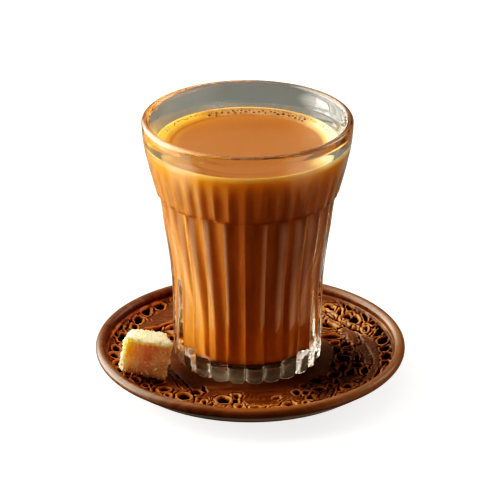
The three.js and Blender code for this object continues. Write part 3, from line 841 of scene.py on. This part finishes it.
def make_chai():
    """Makes the tea and returns the radius of its top at the glass."""
    azimuths = np.arange(GLASS_SIDES) * 360 / GLASS_SIDES
    wall = [(r + INTO_WALL, h - INTO_WALL) for r, h in hollow_profile(CHAI_LEVEL)]
    distances = np.append(np.arange(0, 8, 0.25), np.arange(8, 32, 1.6))
    top_radius = float(curve_through(HOLLOW, np.array([CHAI_LEVEL + 1.0]))[0]) + INTO_WALL
    flat_radii = np.array([r for r, _ in wall] + (top_radius - distances).tolist())
    heights = np.array([h for _, h in wall] + chai_surface(distances).tolist())
    rings, low = len(flat_radii), len(wall)
    bulge = np.array([chai_rib(azimuths, h) for h in heights[:low]])
    near_wall = np.exp(-distances / 0.5)[:, None] * chai_rib(azimuths, CHAI_LEVEL)
    radii = flat_radii[:, None] + np.vstack([bulge, near_wall])

    # Arcs round the glass: painted light at the left, a painted highlight at the right, then the froth at
    # the back
    left_glow_arc, right_highlight = arc(azimuths, -104, 34, 76), arc(azimuths, 92, 26, 50)
    frothy, plain = arc(azimuths, 168, 52, 84), 1 - left_glow_arc
    names = ("side", "glow", "left_glow", "deep", "dark", "froth", "pale")
    layers = {name: np.zeros((rings, GLASS_SIDES)) for name in names}
    side = heights[:low, None]
    layers["side"][:low] = 1
    # Painted glow on the sides, brightest at the top
    layers["glow"][:low] = np.exp((side - CHAI_LEVEL) / GLOW_DEPTH)
    # Painted highlight: a pale line at the top of the sides, away from the left
    layers["pale"][:low] = 0.5 * smooth(side, CHAI_LEVEL - 0.3, CHAI_LEVEL + 0.2) * plain
    # Painted shade at the bottom of the tea
    layers["dark"][:low] = 1 - smooth(side, HOLLOW_FLOOR + 0.6, HOLLOW_FLOOR + 2.6)
    round_spots = (Vector((3 * math.sin(a), 3 * math.cos(a), 2.2)) for a in np.radians(azimuths))
    wander = np.array([noise.noise(spot) for spot in round_spots])
    for i, distance in enumerate(distances, low):
        band = distance - 0.9 * wander
        layers["froth"][i] = (1 - smooth(band, FROTH_WIDTH - 2.4, FROTH_WIDTH + 0.8)) * frothy * plain
        layers["deep"][i] = 0.7 * np.exp(-((band - FROTH_WIDTH - 1.4) / 2.0) ** 2) * frothy
        # Painted light on the top near the glass at the left
        layers["left_glow"][i] = left_glow_arc * (1 - smooth(distance, 0.4, 8.5))
        # Painted highlight: a cream band near the glass at the right and a pale line at the tea's edge
        edge = 0.5 * plain * (1 - smooth(distance, 0.1, 0.4))
        layers["pale"][i] = np.clip(right_highlight * (1 - smooth(distance, 2.0, 5.8)) + edge, 0, 1)
    points, faces = revolve(radii, heights, azimuths)
    points = points + [GLASS_X, 0, GLASS_FOOT]
    piece = add_mesh("chai_fill", points, faces, chai_material())
    for name, values in layers.items():
        bottom = 1 if name in ("side", "dark") else 0
        value_on(piece, name, np.append(values.ravel(), [bottom, 0]))
    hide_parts("chai")
    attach(piece, "root")
    return top_radius


def ball(sides, rings):
    """Points and faces of a unit ball."""
    turns = np.linspace(-math.pi / 2, math.pi / 2, rings + 2)[1:-1]
    return revolve(np.cos(turns), np.sin(turns), np.arange(sides) * 360 / sides)


def scatter(shape, places, sizes, turns=None):
    """Points and faces of many copies of a shape, as one mesh."""
    points, faces = shape
    all_points, all_faces = [], []
    for i, (spot, size) in enumerate(zip(places, sizes)):
        moved = points * size
        if turns is not None:
            moved = moved @ np.array(Euler(turns[i]).to_matrix()).T
        all_points.append(moved + spot)
        offset = i * len(points)
        all_faces += [tuple(corner + offset for corner in face) for face in faces]
    return np.vstack(all_points), all_faces


def make_bubbles(wall):
    """Bubbles along the glass at the back: large ones first, then loose small ones over a wider arc."""
    rng = np.random.default_rng(11)
    places, sizes = [], []
    for loose in [False] * 300 + [True] * 120:
        if loose:
            azimuth = 180 + rng.uniform(-80, 70)
            size = rng.uniform(0.22, 0.36)
            distance = size + rng.uniform(0.1, 1.2)
        else:
            azimuth = 180 + rng.uniform(-46, 30)
            size = rng.choice([0.5, 0.6, 0.72, 0.85], p=[0.35, 0.35, 0.2, 0.1])
            distance = size + rng.uniform(1.0, 3.3)
        spot = place(wall - distance, azimuth, float(chai_surface(distance)) - 0.35 * size)
        if places:
            gaps = np.linalg.norm(np.array(places) - spot, axis=1)
            if (gaps < 1.35 * (np.array(sizes) + size)).any():
                continue
        places.append(spot)
        sizes.append(size)
    shape = ball(14, 8)
    points, faces = scatter(shape, places, sizes)
    points = points + [GLASS_X, 0, GLASS_FOOT]
    piece = add_mesh("froth_bubbles", points, faces, bubble_material())
    value_on(piece, "crown", np.tile(shape[0][:, 2], len(places)))
    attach(piece, "root")


# Sugar lump

def box_grid(steps):
    """Points and faces of a cube from -1 to 1 with a grid of squares on each side."""
    line = np.linspace(-1, 1, steps + 1)
    index, points, faces = {}, [], []

    def corner(key):
        if key not in index:
            index[key] = len(points)
            points.append([line[k] for k in key])
        return index[key]

    for axis in range(3):
        for side in (0, steps):
            for i in range(steps):
                for j in range(steps):
                    face = []
                    for di, dj in ((0, 0), (1, 0), (1, 1), (0, 1)):
                        key = [i + di, j + dj]
                        key.insert(axis, side)
                        face.append(corner(tuple(key)))
                    flip = (side == steps) == (axis == 1)
                    faces.append(tuple(face[::-1]) if flip else tuple(face))
    return np.array(points), faces


def make_sugar():
    rng = np.random.default_rng(5)
    half = np.array(SUGAR_SIZE) / 2
    unit, faces = box_grid(SUGAR_STEPS)
    length = (np.abs(unit) ** SUGAR_SQUARENESS).sum(axis=1) ** (1 / SUGAR_SQUARENESS)
    body = unit / length[:, None] * half * 1.03
    out = unit / np.linalg.norm(unit, axis=1)[:, None]
    edge = smooth(np.sort(np.abs(unit), axis=1)[:, 1], 0.75, 1.0)
    moved = []
    for spot, way, rim in zip(body, out, edge):
        big = noise.noise(Vector(spot * 0.28))
        middle = noise.noise(Vector(spot * 0.9 + 7))
        cells = noise.voronoi(Vector(spot * 1.5), distance_metric="DISTANCE")[0]
        crystal = min(cells[1] - cells[0], 0.5)
        chip = max(0.0, noise.noise(Vector(spot * 0.6 + 21))) * rim
        out_by = 0.3 * big + 0.2 * middle + 0.4 * (crystal - 0.25) - 0.9 * chip - 0.25 * rim
        moved.append(spot + way * out_by)
    body = np.array(moved)
    turn = np.array(Euler([math.radians(a) for a in SUGAR_TILT]).to_matrix())

    def finish(points):
        """Narrower at the back and higher at the right, then turned and put in place."""
        share = points / half
        wide, tall = 1 - SUGAR_TAPER * share[:, 1], 1 + SUGAR_SLANT * share[:, 0]
        return (points * np.stack([wide, np.ones(len(points)), tall], axis=1)) @ turn.T + SUGAR_CENTRE

    lump = add_mesh("sugar_lump_rough", finish(body), faces, sugar_material("raw_sugar", 1.0))
    # Painted shade: the front and the right are painted browner than the top and the left; painted glow: the
    # upper left of the front is painted a warm yellow
    right_way, back_way, up_way = unit.T
    front = smooth(-back_way, 0.86, 1.0) * (1 - smooth(up_way, 0.62, 1.0))
    right = smooth(right_way, 0.86, 1.0) * (1 - smooth(up_way, 0.7, 1.0))
    painted_glow = smooth(-back_way, 0.8, 1.0) * (1 - smooth(right_way, -0.85, -0.1)) * smooth(up_way, -0.6, 0.4)
    layers = {"shade": np.clip(front + 0.7 * right, 0, 1), "painted_glow": 0.85 * painted_glow}
    for name, values in layers.items():
        value_on(lump, name, values)
    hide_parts("sugar_lump")

    # Loose grains sit a little way into the lump
    grains, sizes, turns = [], [], []
    picked = rng.choice(len(body), GRAINS, replace=False)
    for k in picked:
        sizes.append(rng.uniform(0.14, 0.34))
        grains.append(body[k] * (1 - 0.05 * sizes[-1] / 7))
        turns.append(rng.uniform(0, TAU, 3))
    cube_points = np.array([[x, y, z] for x in (-1, 1) for y in (-0.8, 0.8) for z in (-0.7, 0.7)])
    cube_faces = [(0, 1, 3, 2), (4, 6, 7, 5), (0, 4, 5, 1), (2, 3, 7, 6), (0, 2, 6, 4), (1, 5, 7, 3)]
    points, faces = scatter((cube_points, cube_faces), grains, sizes, turns)
    grain_material = sugar_material("raw_sugar_grains", 0.3)
    crystals = add_mesh("sugar_crystals", finish(points), faces, grain_material, smooth_faces=False)
    # The grains carry the lump's painted shade and painted glow, weaker
    for name, values in layers.items():
        value_on(crystals, name, np.repeat(0.6 * values[picked], len(cube_points)))
    for piece in (lump, crystals):
        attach(piece, "root")


# Studio

def make_floor():
    """A pale floor that glows a little and is seen by the camera and by shadows only."""
    n = Nodes("pale_floor")
    n.link(n.ramp(n.noise(3, 2), *FLOOR_SHADES), n.shader.inputs["Base Color"])
    n.set(Roughness=0.9, Emission_Color=(1, 1, 1, 1), Emission_Strength=0.75)
    size, low = 4000.0, -0.05
    corners = [(-size, -size, low), (size, -size, low), (size, size, low), (-size, size, low)]
    floor = add_mesh("floor", corners, [(0, 1, 2, 3)], n.material)
    floor.visible_diffuse = False
    floor.visible_glossy = False
    floor.visible_transmission = False


# Soft patches of light: azimuth and elevation they come from, inner and outer angle, strength, colour
BASE_LIGHT = (0.095, 0.088, 0.076)
LOBES = [
    (-112, 22, 14, 50, 5.9, (1.0, 0.93, 0.79)),
    (-150, 66, 10, 56, 0.75, (1.0, 0.96, 0.88)),
    (-96, 4, 8, 11, 4.5, (1.0, 0.95, 0.85)),
    (-114, 4, 8, 11, 4.5, (1.0, 0.95, 0.85)),
    (-132, 4, 8, 11, 4.5, (1.0, 0.97, 0.9)),
    (120, 30, 6, 22, 2.4, (1.0, 0.95, 0.88)),
    (80, 5, 10, 55, 0.55, (1.0, 0.92, 0.8)),
    (176, 46, 8, 34, 0.4, (1.0, 0.96, 0.9)),
    (180, -28, 20, 48, 0.12, (0.84, 1.0, 0.94)),
    (-86, -25, 8, 27, 1.3, (1.0, 0.94, 0.82)),
    (68, -25, 8, 28, 0.45, (1.0, 0.93, 0.85)),
]


def make_world():
    """Light from the world alone: an even base and the soft patches added to it."""
    world = bpy.data.worlds.new("soft_studio")
    world.use_nodes = True
    tree = world.node_tree
    back = tree.nodes["Background"]
    way = tree.nodes.new("ShaderNodeTexCoord").outputs["Generated"]
    total = None
    for azimuth, elevation, inner, outer, strength, colour in LOBES:
        e = math.radians(elevation)
        x, y, _ = place(math.cos(e), azimuth)
        dot = tree.nodes.new("ShaderNodeVectorMath")
        dot.operation = "DOT_PRODUCT"
        tree.links.new(way, dot.inputs[0])
        dot.inputs[1].default_value = (x, y, math.sin(e))
        span = tree.nodes.new("ShaderNodeMapRange")
        span.interpolation_type = "SMOOTHSTEP"
        ends = {"From Min": math.cos(math.radians(outer)), "From Max": math.cos(math.radians(inner)),
                "To Min": 0.0, "To Max": strength}
        for key, value in ends.items():
            span.inputs[key].default_value = value
        tree.links.new(dot.outputs["Value"], span.inputs["Value"])
        scale = tree.nodes.new("ShaderNodeVectorMath")
        scale.operation = "SCALE"
        scale.inputs[0].default_value = colour
        tree.links.new(span.outputs["Result"], scale.inputs["Scale"])
        add = tree.nodes.new("ShaderNodeVectorMath")
        add.operation = "ADD"
        tree.links.new(scale.outputs["Vector"], add.inputs[0])
        if total is None:
            add.inputs[1].default_value = BASE_LIGHT
        else:
            tree.links.new(total, add.inputs[1])
        total = add.outputs["Vector"]
    tree.links.new(total, back.inputs["Color"])
    bpy.context.scene.world = world


# Points of the view's tone curve, which deepens the darks
TONES = [(0.0, 0.0), (0.02, 0.0025), (0.06, 0.026), (0.15, 0.135), (0.31, 0.355), (0.78, 0.83), (1.0, 1.0)]


def make_studio():
    make_floor()
    make_world()
    view = bpy.context.scene.view_settings
    view.view_transform = "Standard"
    view.use_curve_mapping = True
    curve = view.curve_mapping.curves[3]
    curve.points[0].location = TONES[0]
    curve.points[1].location = TONES[-1]
    for spot in TONES[1:-1]:
        curve.points.new(*spot)
    view.curve_mapping.update()


def make_camera():
    lens = bpy.data.cameras.new("camera")
    lens.lens = CAMERA_LENS
    lens.sensor_width = SENSOR_WIDTH
    camera = bpy.data.objects.new("camera", lens)
    camera.location = [c * MM for c in CAMERA_PLACE]
    camera.rotation_euler = (math.radians(90 - CAMERA_PITCH), 0, math.radians(-CAMERA_YAW))
    bpy.context.scene.collection.objects.link(camera)
    bpy.context.scene.camera = camera


make_camera()
make_studio()
make_saucer()
make_glass()
chai_wall = make_chai()
make_bubbles(chai_wall)
make_sugar()

bpy.context.view_layer.update()
